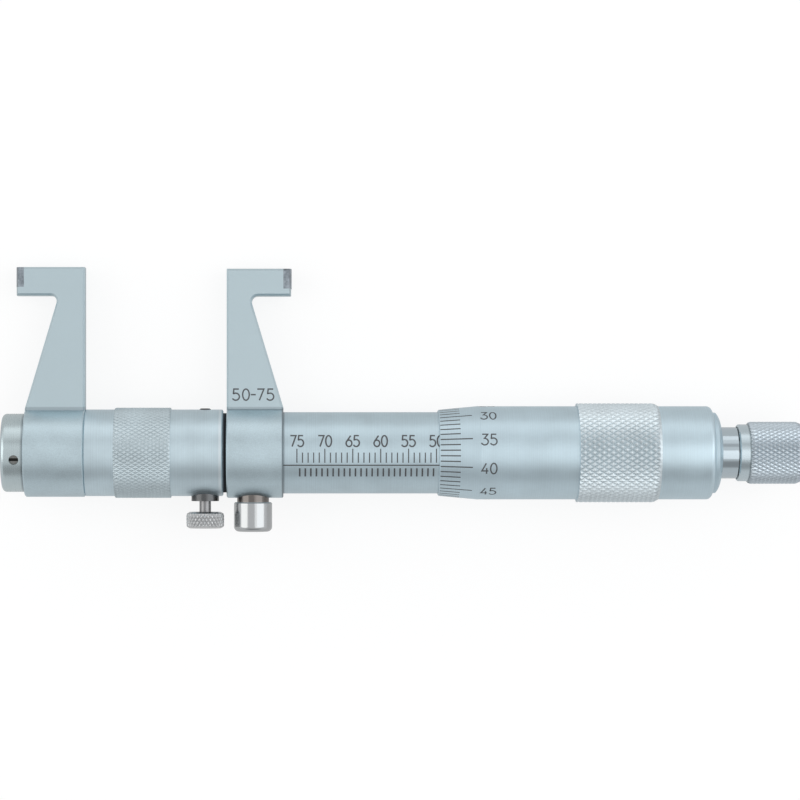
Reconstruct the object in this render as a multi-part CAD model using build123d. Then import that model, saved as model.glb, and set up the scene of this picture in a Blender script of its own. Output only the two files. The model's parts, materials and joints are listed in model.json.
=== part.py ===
from build123d import *
import os
from math import asin, atan2, degrees, hypot

# Inside micrometer for 50 to 75 mm, with two hooked jaws on one round axis.
# Turning the thimble pushes a keyed rod, which carries the moving jaw outward.
# Lengths are millimetres. Stations run along the axis from the fixed jaw's inner
# face towards the ratchet, +Y is the way the hooks reach and +Z faces the reader.

# Measuring range and travel
reading = 49.90
scale_span = 25.0
range_low = 50.0
out_travel = 26.0
in_travel = 0.5

# Clearances
fit = 0.02
running = 0.03
thimble_play = 0.06
end_play = 0.05
pad_gap = 0.05

# Edge breaks
edge_break = 0.2
screw_slot_width = 0.5
screw_slot_depth = 0.5

# Guide rod and the cap nut on its end
rod_radius = 4.0
stud_radius = 2.5
stud_length = 2.8
cap_length = 4.12
cap_radius = 7.09
cap_round = 0.8
cap_screw_radius = 0.85
cap_screw_inset = 2.52
cap_screw_depth = 0.45
cap_screw_turn = 100.6

# Jaw rings
fixed_ring_length = 10.25
fixed_ring_wall = 1.75
fixed_ring_lip = 1.2
moving_ring_length = 10.85
moving_ring_radius = 7.99

# Jaw plates and hooks
plate_thickness = 4.4
plate_edge_break = 0.35
plate_foot_blend = 0.5
hook_corner = 1.1
fixed_hook_top = 33.3
fixed_hook_under = 28.42
fixed_reach = 11.75
fixed_neck = 4.16
moving_hook_top = 33.6
moving_hook_under = 28.5
moving_neck = 4.71

# Carbide measuring tips
tip_curve = 6.0
tip_width = 1.5
tip_height = 3.6
tip_proud = 0.1

# Wiper ring in the fixed ring's face, whose lip runs in the tube's end
wiper_seat = 0.5
wiper_lip = 0.2
wiper_rim = 0.97
wiper_room = 0.1

# Extension tube, its clamp and its locating pin
extension_length = 25.0
extension_radius = 7.86
extension_grip_start = 5.4
extension_grip_length = 10.18
extension_grip_rise = 0.33
grip_chamfer = 0.15
rest_gap = 0.67
clamp_inset = 3.26
bush_collar_radius = 2.5
bush_collar_end = 8.75
bush_seat = 7.4
bush_shank_radius = 1.8
bush_shank_end = 4.3
thumb_shank_radius = 1.05
thumb_head_start = 10.72
thumb_head_end = 13.7
thumb_head_radius = 3.43
thumb_head_round = 0.45
pad_length = 0.9
locating_pin_radius = 1.1
locating_pin_depth = 1.2
locating_pin_crown = 0.2

# Lock on the fixed jaw's ring
lock_station = 4.75
lock_shank_radius = 1.5
lock_neck_radius = 2.9
lock_neck_start = 7.3
lock_seat = 7.05
lock_body_start = 8.95
lock_body_end = 14.3
lock_body_radius = 3.46
lock_body_round = 0.9
lock_in_travel = 0.2

# Key screw at the back of the ring
key_station = 7.6
key_screw_radius = 1.25
key_pin_radius = 0.72
key_pin_length = 1.1
keyway_depth = 0.9
key_head_depth = 0.3
keyway_end_gap = 0.15

# Sleeves and the split nut
inner_sleeve_wall = 2.37
scale_sleeve_wall = 0.96
edge_gap_at_top = 2.92
sleeve_overlap = 7.73
nut_thread_step = 0.5
nut_length = 9.5
nut_bore_lead = 5.5
nut_slit_width = 0.6
nut_slits = 3
spanner_hole_radius = 0.75
spanner_hole_inset = 3.0
adjusting_nut_wall = 1.08
adjusting_nut_length = 5.0
adjusting_nut_inset = 1.0
adjusting_notches = 4
adjusting_notch_width = 1.2
adjusting_notch_depth = 0.7

# Spindle and the joint between it and the rod
spindle_radius = 3.15
rod_end_room = 2.0
rod_bore_radius = 2.6
rod_bore_depth = 7.5
ball_radius = 1.25
spindle_head_radius = 2.4
spindle_head_length = 1.6
spindle_neck_radius = 1.6
spindle_thread_gap = 0.6
spindle_flange_radius = 4.2
spindle_flange_length = 0.8
spindle_tail_bore = 1.5
spindle_tail_depth = 5.5

# Thimble
thimble_edge_wall = 0.36
thimble_edge_chamfer = 0.12
thimble_bevel_length = 7.3
thimble_wall = 1.01
thimble_bevel_rise = 0.03
thimble_grip_start = 25.13
thimble_grip_length = 14.5
thimble_grip_rise = 0.53
thimble_grip_runout = 0.8
thimble_end_room = 1.5
thimble_web = 4.8
thimble_end_round = 0.6
cap_recess_depth = 1.0
cap_recess_wall = 1.13
thimble_cap_height = 1.45
thimble_cap_land = 0.7
thimble_cap_crown = 5.0
thimble_cap_bulge = 0.25

# Ratchet
neck_radius = 4.66
neck_length = 3.05
neck_flare = 0.2
neck_gap = 0.2
hub_radius = 2.2
hub_length = 8.95
teeth = 12
tooth_height = 0.4
tooth_inner_radius = 2.8
tooth_inset = 0.51
tooth_gap = 0.06
tooth_backlash = 0.8
clutch_radius = 4.2
clutch_length = 1.6
clutch_travel = 0.45
clutch_lug_radius = 4.7
clutch_lug_width = 1.5
collar_radius = 5.16
collar_length = 1.9
knob_radius = 5.63
knob_length = 9.8
knob_start_chamfer = 0.3
knob_end_chamfer = 1.1
knob_end_drop = 0.5
knob_cavity_radius = 4.35
knob_wall = 2.0
knob_recess_radius = 3.1
ratchet_screw_radius = 1.2
ratchet_screw_length = 6.0
ratchet_screw_head = 2.8
ratchet_screw_head_length = 1.6
spring_radius = 3.2
spring_wire = 0.25
spring_turns = 4

# Radii that follow from the rod outward
inner_sleeve_radius = rod_radius + running + inner_sleeve_wall
nut_thread_radius = inner_sleeve_radius - nut_thread_step
adjusting_nut_radius = nut_thread_radius + fit + adjusting_nut_wall
scale_sleeve_radius = inner_sleeve_radius + fit + scale_sleeve_wall
fixed_ring_radius = inner_sleeve_radius + fit + fixed_ring_wall
thimble_bore_radius = scale_sleeve_radius + thimble_play
thimble_edge_radius = thimble_bore_radius + thimble_edge_wall
thimble_radius = thimble_bore_radius + thimble_wall
thimble_bevel_radius = thimble_radius + thimble_bevel_rise
thimble_grip_radius = thimble_radius + thimble_grip_rise
cap_recess_radius = thimble_radius - cap_recess_wall
extension_grip_radius = extension_radius + extension_grip_rise
wiper_radius = fixed_ring_radius - wiper_rim
tooth_outer_radius = neck_radius - tooth_inset

# Stations that follow from the lengths
ring_right = fixed_ring_length
tube_right = -rest_gap
tube_left = tube_right - extension_length
moving_left = tube_left - moving_ring_length
cap_left = moving_left - cap_length
clamp_station = tube_right - clamp_inset
moving_reach = reading - fixed_reach + tube_left
edge = ring_right + edge_gap_at_top + scale_span + range_low - reading
sleeve_right = edge + sleeve_overlap
nut_right = sleeve_right + nut_length
nut_bore_left = sleeve_right - nut_bore_lead
rod_right = nut_bore_left - in_travel - rod_end_room
rod_bore_left = rod_right - rod_bore_depth
web_left = nut_right + out_travel + thimble_end_room
thimble_right = web_left + thimble_web
neck_left = thimble_right + thimble_cap_height
neck_right = neck_left + neck_length
knob_left = neck_right + neck_gap
hub_right = neck_right + hub_length
knob_right = knob_left + collar_length + knob_length
knob_wall_right = hub_right - end_play
knob_wall_left = knob_wall_right - knob_wall
clutch_left = neck_right + tooth_height + tooth_gap
clutch_right = clutch_left + clutch_length

# The four ways that cross pieces point
UP = 0
DOWN = 180
BACK = -90


def turned(*corners):
    """A solid turned about the axis from (station, radius) corners."""
    return revolve(make_face(Polyline(*corners, close=True)), Axis.X)


def bar(start, end, radius, chamfer_size=0.0):
    """A round bar along the axis, with its edges broken."""
    solid = turned((start, 0), (start, radius), (end, radius), (end, 0))
    if chamfer_size:
        solid = chamfer(solid.edges().filter_by(GeomType.CIRCLE), chamfer_size)
    return solid


def cross(station, turn, *corners):
    """A solid turned about a radial line, from (distance from the axis, radius) corners."""
    outline = [(radius, distance) for distance, radius in corners]
    solid = revolve(make_face(Polyline(*outline, close=True)), Axis.Y)
    return Pos(station, 0, 0) * Rot(turn, 0, 0) * solid


def cross_bar(station, turn, low, high, radius):
    """A round bar on a radial line, from one distance off the axis to another."""
    return cross(station, turn, (low, 0), (low, radius), (high, radius), (high, 0))


def cross_slot(station, turn, low, high, width):
    """The screwdriver slot across the end of a radial screw, along the axis."""
    length = 4 * high
    return Pos(station, 0, 0) * Rot(turn, 0, 0) * Pos(0, (low + high) / 2, 0) * Box(length, high - low, width)


def jaw_outline(back, way, reach, hook_top, hook_under, neck, ring_length, ring_radius):
    """The side of a jaw from its ring's axis up to the hook, with its inner corner rounded."""
    outline = Polyline(
        (back, 0),
        (back, hook_top),
        (back + way * reach, hook_top),
        (back + way * reach, hook_under),
        (back + way * neck, hook_under),
        (back + way * ring_length, ring_radius),
        (back + way * ring_length, 0),
        close=True,
    )
    face = make_face(outline)
    inner_corner = face.vertices().sort_by_distance((back + way * neck, hook_under, 0))[0]
    return fillet(inner_corner, hook_corner)


def jaw_blank(outline, back, way, reach, hook_top):
    """The hooked plate with broken edges and a rounded nose, before its tip is fitted."""
    plate = extrude(outline, plate_thickness / 2, both=True)
    rim = plate.faces().filter_by(Axis.Z).edges()
    foot = rim.filter_by(Axis.X).group_by(Axis.Y)[0]
    nose = rim.filter_by(Axis.Y).group_by(Axis.X)[-1 if way > 0 else 0]
    plate = chamfer(rim - foot - nose, plate_edge_break)
    centre = back + way * (reach - tip_curve)
    high = hook_top + tip_height
    round_end = Pos(centre, high / 2, 0) * Rot(90, 0, 0) * Cylinder(tip_curve, high)
    body_length = moving_ring_length + reach
    body = Pos(centre - way * body_length / 2, high / 2, 0) * Box(body_length, high, 2 * plate_thickness)
    return plate & (round_end + body)


def jaw_foot(outline, back, way, ring_length, ring_radius):
    """The blend that joins the plate to the round of its ring."""
    root = ring_radius + 2 * plate_foot_blend
    section = Circle(ring_radius) + Pos(0, root / 2) * Rectangle(plate_thickness, root)
    sides = [v for v in section.vertices() if abs(abs(v.X) - plate_thickness / 2) < fit]
    section = fillet([v for v in sides if v.Y < ring_radius], plate_foot_blend)
    start = Plane(origin=(back, 0, 0), x_dir=(0, 0, way), z_dir=(way, 0, 0))
    block = extrude(start.offset(edge_break) * section, ring_length - 2 * edge_break)
    return block & extrude(outline, ring_radius, both=True)


def tip_seat(back, way, reach, hook_top):
    """The notch at the top of the hook that holds the carbide tip."""
    middle = back + way * reach
    return Pos(middle, hook_top, 0) * Box(2 * tip_width, 2 * tip_height, 2 * plate_thickness)


def hook_relief(back, way, reach, hook_top):
    """What is ground off the hook under the tip, so that the tip stands proud."""
    middle = back + way * reach
    return Pos(middle, hook_top / 2, 0) * Box(2 * tip_proud, hook_top, 2 * plate_thickness)


def make_jaw(back, way, reach, hook_top, hook_under, neck, ring_length, ring_radius):
    """A jaw before its ring is bored, and the tip that goes in its hook."""
    outline = jaw_outline(back, way, reach, hook_top, hook_under, neck, ring_length, ring_radius)
    blank = jaw_blank(outline, back, way, reach, hook_top)
    seat = tip_seat(back, way, reach, hook_top)
    tip = blank & seat
    far = back + way * ring_length
    ring = bar(min(back, far), max(back, far), ring_radius, edge_break)
    jaw = blank - seat - hook_relief(back, way, reach, hook_top)
    jaw += ring
    return jaw + jaw_foot(outline, back, way, ring_length, ring_radius), tip


def make_fixed_jaw():
    """Fixed jaw on the frame's ring, with holes for the sleeve, wiper, lock and key screw."""
    jaw, tip = make_jaw(
        0, 1, fixed_reach, fixed_hook_top, fixed_hook_under, fixed_neck, fixed_ring_length, fixed_ring_radius
    )
    jaw -= bar(-1, fixed_ring_lip + 1, rod_radius + running)
    jaw -= bar(fixed_ring_lip, ring_right + 1, inner_sleeve_radius + fit)
    jaw -= bar(-1, wiper_seat, wiper_radius + fit)
    jaw -= cross_bar(lock_station, DOWN, rod_radius, 2 * fixed_ring_radius, lock_shank_radius + running)
    jaw -= cross_bar(lock_station, DOWN, lock_seat, 2 * fixed_ring_radius, lock_neck_radius + running)
    jaw -= cross_bar(key_station, BACK, rod_radius, 2 * fixed_ring_radius, key_screw_radius + fit)
    return jaw, tip


def make_wiper_ring():
    """Soft ring that wipes the rod as it slides."""
    ring = bar(tube_right - wiper_lip, wiper_seat, wiper_radius)
    return ring - bar(tube_right - 1, wiper_seat + 1, rod_radius + running)


def make_moving_jaw():
    """Moving jaw, clamped on the rod between the cap nut and the extension tube."""
    jaw, tip = make_jaw(
        tube_left,
        -1,
        moving_reach,
        moving_hook_top,
        moving_hook_under,
        moving_neck,
        moving_ring_length,
        moving_ring_radius,
    )
    return jaw - bar(moving_left - 1, tube_left + 1, rod_radius + fit), tip


def make_guide_rod():
    """Keyed rod, with a stud for the cap nut and a bore for the spindle's head."""
    rod = bar(moving_left, rod_right, rod_radius)
    rod += bar(moving_left - stud_length, moving_left + 1, stud_radius)
    rod -= bar(rod_bore_left, rod_right + 1, rod_bore_radius)
    key_room = key_pin_radius + running + keyway_end_gap
    keyway_left = key_station - in_travel - key_room
    keyway_right = key_station + out_travel + key_room
    keyway_size = (keyway_right - keyway_left, 2 * keyway_depth, 2 * (key_pin_radius + running))
    rod -= Rot(BACK, 0, 0) * Pos((keyway_left + keyway_right) / 2, rod_radius, 0) * Box(*keyway_size)
    pin_foot = rod_radius - locating_pin_depth
    rod -= cross_bar(clamp_station, UP, pin_foot, 2 * rod_radius, locating_pin_radius + fit)
    return rod


def make_end_cap():
    """Cap nut on the rod's stud, with a radial hole for its set screw."""
    cap = bar(cap_left, moving_left, cap_radius)
    cap = fillet(cap.edges().filter_by(GeomType.CIRCLE).sort_by(Axis.X)[0], cap_round)
    cap -= bar(moving_left - stud_length - end_play, moving_left + 1, stud_radius + fit)
    cap -= cross_bar(cap_screw_station(), cap_screw_turn, stud_radius, 2 * cap_radius, cap_screw_radius + fit)
    return cap


def cap_screw_station():
    """Where the set screw crosses the cap."""
    return cap_left + cap_screw_inset


def make_cap_set_screw():
    """Slotted set screw, sunk in the cap and bearing on the stud."""
    station = cap_screw_station()
    outer = cap_radius - cap_screw_depth
    screw = cross_bar(station, cap_screw_turn, stud_radius + fit, outer, cap_screw_radius)
    slot_foot = outer - screw_slot_depth
    return screw - cross_slot(station, cap_screw_turn, slot_foot, outer + 1, screw_slot_width)


def make_extension_tube():
    """Distance tube with its knurled band, clamp seat and locating hole."""
    grip_left = tube_left + extension_grip_start
    tube = bar(tube_left, tube_right, extension_radius, edge_break)
    tube += bar(grip_left, grip_left + extension_grip_length, extension_grip_radius, grip_chamfer)
    tube -= bar(tube_left - 1, tube_right + 1, rod_radius + fit)
    tube -= bar(tube_right - wiper_lip - in_travel - wiper_room, tube_right + 1, wiper_radius + wiper_room)
    tube -= cross_bar(clamp_station, DOWN, 0, 2 * extension_radius, bush_shank_radius + fit)
    tube -= cross_bar(clamp_station, DOWN, bush_seat, 2 * extension_radius, bush_collar_radius + fit)
    tube -= cross_bar(clamp_station, UP, 0, 2 * extension_radius, locating_pin_radius + fit)
    return tube


def make_thumb_screw_bush():
    """Flanged bush, screwed into the extension tube."""
    bush = cross_bar(clamp_station, DOWN, bush_seat, bush_collar_end, bush_collar_radius)
    bush += cross_bar(clamp_station, DOWN, bush_shank_end, bush_seat + end_play, bush_shank_radius)
    return bush - cross_bar(clamp_station, DOWN, 0, 2 * bush_collar_end, thumb_shank_radius + running)


def make_clamp_pad():
    """Brass pad between the thumb screw and the rod."""
    start = rod_radius + pad_gap
    return cross_bar(clamp_station, DOWN, start, start + pad_length, thumb_shank_radius)


def make_thumb_screw():
    """Thumb screw with a round knurled head."""
    tip = rod_radius + pad_gap + pad_length
    head = cross_bar(clamp_station, DOWN, thumb_head_start, thumb_head_end, thumb_head_radius)
    head = fillet(head.edges().filter_by(GeomType.CIRCLE), thumb_head_round)
    return head + cross_bar(clamp_station, DOWN, tip, thumb_head_start + 1, thumb_shank_radius)


def make_locating_pin():
    """Domed pin that stops the extension tube turning on the rod."""
    foot = rod_radius - locating_pin_depth
    top = extension_radius + locating_pin_crown
    pin = cross_bar(clamp_station, UP, foot, top, locating_pin_radius)
    return fillet(pin.edges().filter_by(GeomType.CIRCLE).sort_by(Axis.Y)[-1], 2 * locating_pin_crown)


def make_lock_pad():
    """Brass pad between the lock knob and the rod."""
    start = rod_radius + pad_gap + lock_in_travel
    return cross_bar(lock_station, DOWN, start, start + pad_length, lock_shank_radius)


def make_lock_knob():
    """Polished lock knob with a narrower neck and a rounded end."""
    tip = rod_radius + pad_gap + lock_in_travel + pad_length
    knob = cross_bar(lock_station, DOWN, lock_body_start, lock_body_end, lock_body_radius)
    rims = knob.edges().filter_by(GeomType.CIRCLE).sort_by(Axis.Y)
    knob = fillet(rims[0], lock_body_round)
    knob = chamfer(knob.edges().filter_by(GeomType.CIRCLE).sort_by(Axis.Y)[-1], edge_break)
    knob += cross_bar(lock_station, DOWN, lock_neck_start, lock_body_start + 1, lock_neck_radius)
    return knob + cross_bar(lock_station, DOWN, tip, lock_body_start + 1, lock_shank_radius)


def make_guide_key_screw():
    """Slotted screw in the ring, whose pin runs in the rod's keyway."""
    head_end = fixed_ring_radius - key_head_depth
    pin_foot = rod_radius - keyway_depth + end_play
    shank_foot = pin_foot + key_pin_length
    screw = cross_bar(key_station, BACK, shank_foot, head_end, key_screw_radius)
    screw += cross_bar(key_station, BACK, pin_foot, shank_foot + 1, key_pin_radius)
    return screw - cross_slot(key_station, BACK, head_end - screw_slot_depth, head_end + 1, screw_slot_width)


def make_inner_sleeve():
    """Guide tube, with the split nut of the measuring thread at its far end."""
    sleeve = bar(fixed_ring_lip, sleeve_right, inner_sleeve_radius)
    sleeve += bar(sleeve_right - 1, nut_right, nut_thread_radius)
    sleeve -= bar(fixed_ring_lip - 1, nut_bore_left, rod_radius + running)
    sleeve -= bar(nut_bore_left - 1, nut_right + 1, spindle_radius + running)
    slit_start = sleeve_right + 1
    for slit in range(nut_slits):
        turn = slit * 360 / nut_slits
        size = (nut_length, nut_thread_radius + 1, nut_slit_width)
        cut = Pos(slit_start + nut_length / 2, nut_thread_radius / 2 + spindle_radius / 2, 0) * Box(*size)
        sleeve -= Rot(turn, 0, 0) * cut
    sleeve -= cross_bar(lock_station, DOWN, 0, 2 * inner_sleeve_radius, lock_shank_radius + running)
    return sleeve - cross_bar(key_station, BACK, 0, 2 * inner_sleeve_radius, key_screw_radius + fit)


def make_scale_sleeve():
    """Graduated sleeve, which a pin spanner turns to set the zero."""
    sleeve = bar(ring_right, sleeve_right, scale_sleeve_radius)
    sleeve -= bar(ring_right - 1, sleeve_right + 1, inner_sleeve_radius + fit)
    hole = cross_bar(
        ring_right + spanner_hole_inset, BACK, 0, 2 * scale_sleeve_radius, spanner_hole_radius
    )
    return sleeve - hole


def make_adjusting_nut():
    """Notched nut on the split thread."""
    right = nut_right - adjusting_nut_inset
    nut = bar(right - adjusting_nut_length, right, adjusting_nut_radius, edge_break)
    nut -= bar(sleeve_right, nut_right + 1, nut_thread_radius + fit)
    for notch in range(adjusting_notches):
        turn = notch * 360 / adjusting_notches
        size = (adjusting_nut_length, 2 * adjusting_notch_depth, adjusting_notch_width)
        nut -= Rot(turn, 0, 0) * Pos(right, adjusting_nut_radius, 0) * Box(*size)
    return nut


def make_spindle():
    """Measuring screw, headed for the rod and flanged for the thimble."""
    head_left = rod_bore_left + 2 * ball_radius + fit
    neck_start = head_left + spindle_head_length
    thread_left = rod_right + spindle_thread_gap
    flange_left = web_left - spindle_flange_length
    return turned(
        (head_left, 0),
        (head_left, spindle_head_radius),
        (neck_start, spindle_head_radius),
        (neck_start, spindle_neck_radius),
        (thread_left, spindle_neck_radius),
        (thread_left, spindle_radius),
        (flange_left, spindle_radius),
        (flange_left, spindle_flange_radius),
        (web_left, spindle_flange_radius),
        (web_left, spindle_radius),
        (neck_left, spindle_radius),
        (neck_left, spindle_tail_bore + fit),
        (neck_left - spindle_tail_depth, spindle_tail_bore + fit),
        (neck_left - spindle_tail_depth, 0),
    )


def make_spindle_retainer():
    """Bush in the rod's end that pulls the rod back with the spindle."""
    left = rod_bore_left + 2 * ball_radius + spindle_head_length + end_play
    bush = bar(left, rod_right, rod_bore_radius - fit)
    bush -= bar(left - 1, rod_right + 1, spindle_neck_radius + running)
    slot = Pos(rod_right, 0, 0) * Box(2 * screw_slot_depth, 2 * rod_bore_radius, screw_slot_width)
    return bush - slot


def make_thimble():
    """Barrel with a bevelled scale edge, a knurled grip and a web at its end."""
    bevel = edge + thimble_bevel_length
    grip_left = edge + thimble_grip_start
    grip_right = grip_left + thimble_grip_length
    barrel = turned(
        (edge, 0),
        (edge, thimble_edge_radius - thimble_edge_chamfer),
        (edge + thimble_edge_chamfer, thimble_edge_radius),
        (bevel, thimble_bevel_radius),
        (bevel, thimble_radius),
        (grip_left, thimble_radius),
        (grip_left, thimble_grip_radius),
        (grip_right, thimble_grip_radius),
        (grip_right + thimble_grip_runout, thimble_radius),
        (thimble_right, thimble_radius),
        (thimble_right, 0),
    )
    outer_rim = barrel.edges().filter_by(GeomType.CIRCLE).group_by(Axis.X)[-1].sort_by(SortBy.RADIUS)[-1]
    barrel = fillet(outer_rim, thimble_end_round)
    barrel -= bar(edge - 1, web_left, thimble_bore_radius)
    barrel -= bar(web_left - 1, thimble_right + 1, spindle_radius + fit)
    return barrel - bar(thimble_right - cap_recess_depth, thimble_right + 1, cap_recess_radius)


def make_thimble_cap():
    """Domed cap nut that closes the thimble's end."""
    cap_start = thimble_right - cap_recess_depth
    rim = cap_recess_radius - fit
    bore = spindle_radius + fit
    land = thimble_right + thimble_cap_land
    middle_station = (land + neck_left) / 2 + thimble_cap_bulge
    middle_radius = (rim + thimble_cap_crown) / 2
    dome = ThreePointArc((land, rim), (middle_station, middle_radius), (neck_left, thimble_cap_crown))
    rest = Polyline(
        (neck_left, thimble_cap_crown), (neck_left, bore), (cap_start, bore), (cap_start, rim), (land, rim)
    )
    return revolve(make_face([dome, rest]), Axis.X)


def saw_tooth(root, height_start, height_end, start, span):
    """One ramp of a face ratchet, lofted from one radial line to the next."""
    sides = []
    for turn, height in ((start, height_start), (start + span, height_end)):
        foot = root - (fit if height_start + height_end > 0 else -fit)
        corners = (
            (foot, tooth_inner_radius),
            (foot, tooth_outer_radius),
            (root + height, tooth_outer_radius),
            (root + height, tooth_inner_radius),
        )
        sides.append(Rot(turn, 0, 0) * make_face(Polyline(*corners, close=True)))
    return loft(sides, ruled=True)


def make_ratchet_stem():
    """Polished neck with a ring of saw teeth, a stud for the spindle and a hub."""
    flare_end = neck_left + neck_flare
    flare = RadiusArc((neck_left, neck_radius + neck_flare), (flare_end, neck_radius), neck_flare)
    outline = Polyline(
        (flare_end, neck_radius), (neck_right, neck_radius), (neck_right, 0), (neck_left, 0), flare @ 0
    )
    stem = revolve(make_face([flare, outline]), Axis.X)
    stem += bar(neck_left - spindle_tail_depth + end_play, neck_left + 1, spindle_tail_bore)
    stem += bar(neck_right - 1, hub_right, hub_radius)
    pitch = 360 / teeth
    for tooth in range(teeth):
        stem += saw_tooth(neck_right, tooth_height, 0, tooth * pitch, pitch)
    return stem - bar(hub_right - ratchet_screw_length - 1, hub_right + 1, ratchet_screw_radius + fit)


def clutch_lugs(radius, width, left, right):
    """The pair of keys that tie the clutch ring to the knob."""
    keys = Pos((left + right) / 2, 0, 0) * Box(right - left, 4 * radius, width)
    return keys & bar(left, right, radius)


def make_ratchet_clutch():
    """Sliding ring whose teeth drop into the stem's."""
    ring = bar(clutch_left, clutch_right, clutch_radius)
    ring += clutch_lugs(clutch_lug_radius, clutch_lug_width, clutch_left, clutch_right)
    pitch = 360 / teeth
    for tooth in range(teeth):
        start = tooth * pitch - tooth_backlash
        ring += saw_tooth(clutch_left, 0, -tooth_height, start, pitch)
    return ring - bar(clutch_left - 1, clutch_right + 1, hub_radius + running)


def make_ratchet_knob():
    """Collar and grip, bored for the clutch, its spring and the hub."""
    grip_left = knob_left + collar_length
    knob = turned(
        (knob_left, 0),
        (knob_left, collar_radius - edge_break),
        (knob_left + edge_break, collar_radius),
        (grip_left, collar_radius),
        (grip_left, knob_radius - knob_start_chamfer),
        (grip_left + knob_start_chamfer, knob_radius),
        (knob_right - knob_end_chamfer, knob_radius),
        (knob_right, knob_radius - knob_end_drop),
        (knob_right, 0),
    )
    knob -= bar(knob_left - 1, knob_wall_left, knob_cavity_radius)
    slot_right = clutch_right + clutch_travel + tooth_gap
    slot_width = clutch_lug_width + 2 * running
    knob -= clutch_lugs(clutch_lug_radius + end_play, slot_width, knob_left - 1, slot_right)
    knob -= bar(knob_wall_left - 1, knob_wall_right + 1, hub_radius + running)
    return knob - bar(knob_wall_right, knob_right + 1, knob_recess_radius)


def make_ratchet_spring():
    """Helical spring that holds the clutch in its teeth."""
    left = clutch_right + spring_wire + fit
    height = knob_wall_left - clutch_right - 2 * (spring_wire + fit)
    coil = Helix(height / spring_turns, height, spring_radius, (left, 0, 0), (1, 0, 0))
    section = Plane(coil @ 0, z_dir=coil % 0) * Circle(spring_wire)
    return sweep(section, path=coil, is_frenet=True)


def make_ratchet_screw():
    """Slotted screw that keeps the knob on its hub."""
    right = hub_right + ratchet_screw_head_length
    screw = bar(hub_right, right, ratchet_screw_head)
    screw += bar(hub_right - ratchet_screw_length, hub_right + 1, ratchet_screw_radius)
    slot = Pos(right, 0, 0) * Box(2 * screw_slot_depth, 2 * ratchet_screw_head, screw_slot_width)
    return screw - slot


def make_thrust_ball():
    """Ball between the bottom of the rod's bore and the spindle's head."""
    return Pos(rod_bore_left + ball_radius, 0, 0) * Sphere(ball_radius)


def make_pieces():
    """Every piece by name, in the frame of the axis."""
    fixed_jaw, fixed_tip = make_fixed_jaw()
    moving_jaw, moving_tip = make_moving_jaw()
    return {
        "fixed_jaw": fixed_jaw,
        "fixed_contact_tip": fixed_tip,
        "inner_sleeve": make_inner_sleeve(),
        "scale_sleeve": make_scale_sleeve(),
        "adjusting_nut": make_adjusting_nut(),
        "guide_key_screw": make_guide_key_screw(),
        "wiper_ring": make_wiper_ring(),
        "guide_rod": make_guide_rod(),
        "moving_jaw": moving_jaw,
        "moving_contact_tip": moving_tip,
        "end_cap": make_end_cap(),
        "cap_set_screw": make_cap_set_screw(),
        "extension_tube": make_extension_tube(),
        "thumb_screw_bush": make_thumb_screw_bush(),
        "locating_pin": make_locating_pin(),
        "spindle_retainer": make_spindle_retainer(),
        "thrust_ball": make_thrust_ball(),
        "spindle": make_spindle(),
        "thimble": make_thimble(),
        "thimble_cap": make_thimble_cap(),
        "ratchet_stem": make_ratchet_stem(),
        "ratchet_screw": make_ratchet_screw(),
        "ratchet_knob": make_ratchet_knob(),
        "ratchet_spring": make_ratchet_spring(),
        "ratchet_clutch": make_ratchet_clutch(),
        "lock_knob": make_lock_knob(),
        "lock_pad": make_lock_pad(),
        "thumb_screw": make_thumb_screw(),
        "clamp_pad": make_clamp_pad(),
    }


def lying_angle():
    """How far the hooks droop when the back of the moving hook is level with its ring."""
    corner = hypot(moving_hook_top, plate_thickness / 2)
    return degrees(asin(moving_ring_radius / corner) - atan2(plate_thickness / 2, moving_hook_top))


def laid_down(pieces):
    """The turn and shift that lay the instrument on a table, centred over the origin."""
    turn = Rot(-lying_angle(), 0, 0)
    boxes = [(turn * piece).bounding_box() for piece in pieces.values()]
    middle_x = (min(b.min.X for b in boxes) + max(b.max.X for b in boxes)) / 2
    middle_y = (min(b.min.Y for b in boxes) + max(b.max.Y for b in boxes)) / 2
    bottom = min(b.min.Z for b in boxes)
    return Pos(-middle_x, -middle_y, -bottom) * turn


pieces = make_pieces()
placed = laid_down(pieces)
os.makedirs("parts", exist_ok=True)
for name, piece in pieces.items():
    export_step(placed * piece, f"parts/{name}.step")
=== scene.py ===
import json
from math import atan2, cos, degrees, pi, radians, sin

import bmesh
import bpy
from mathutils import Matrix, Vector


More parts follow.
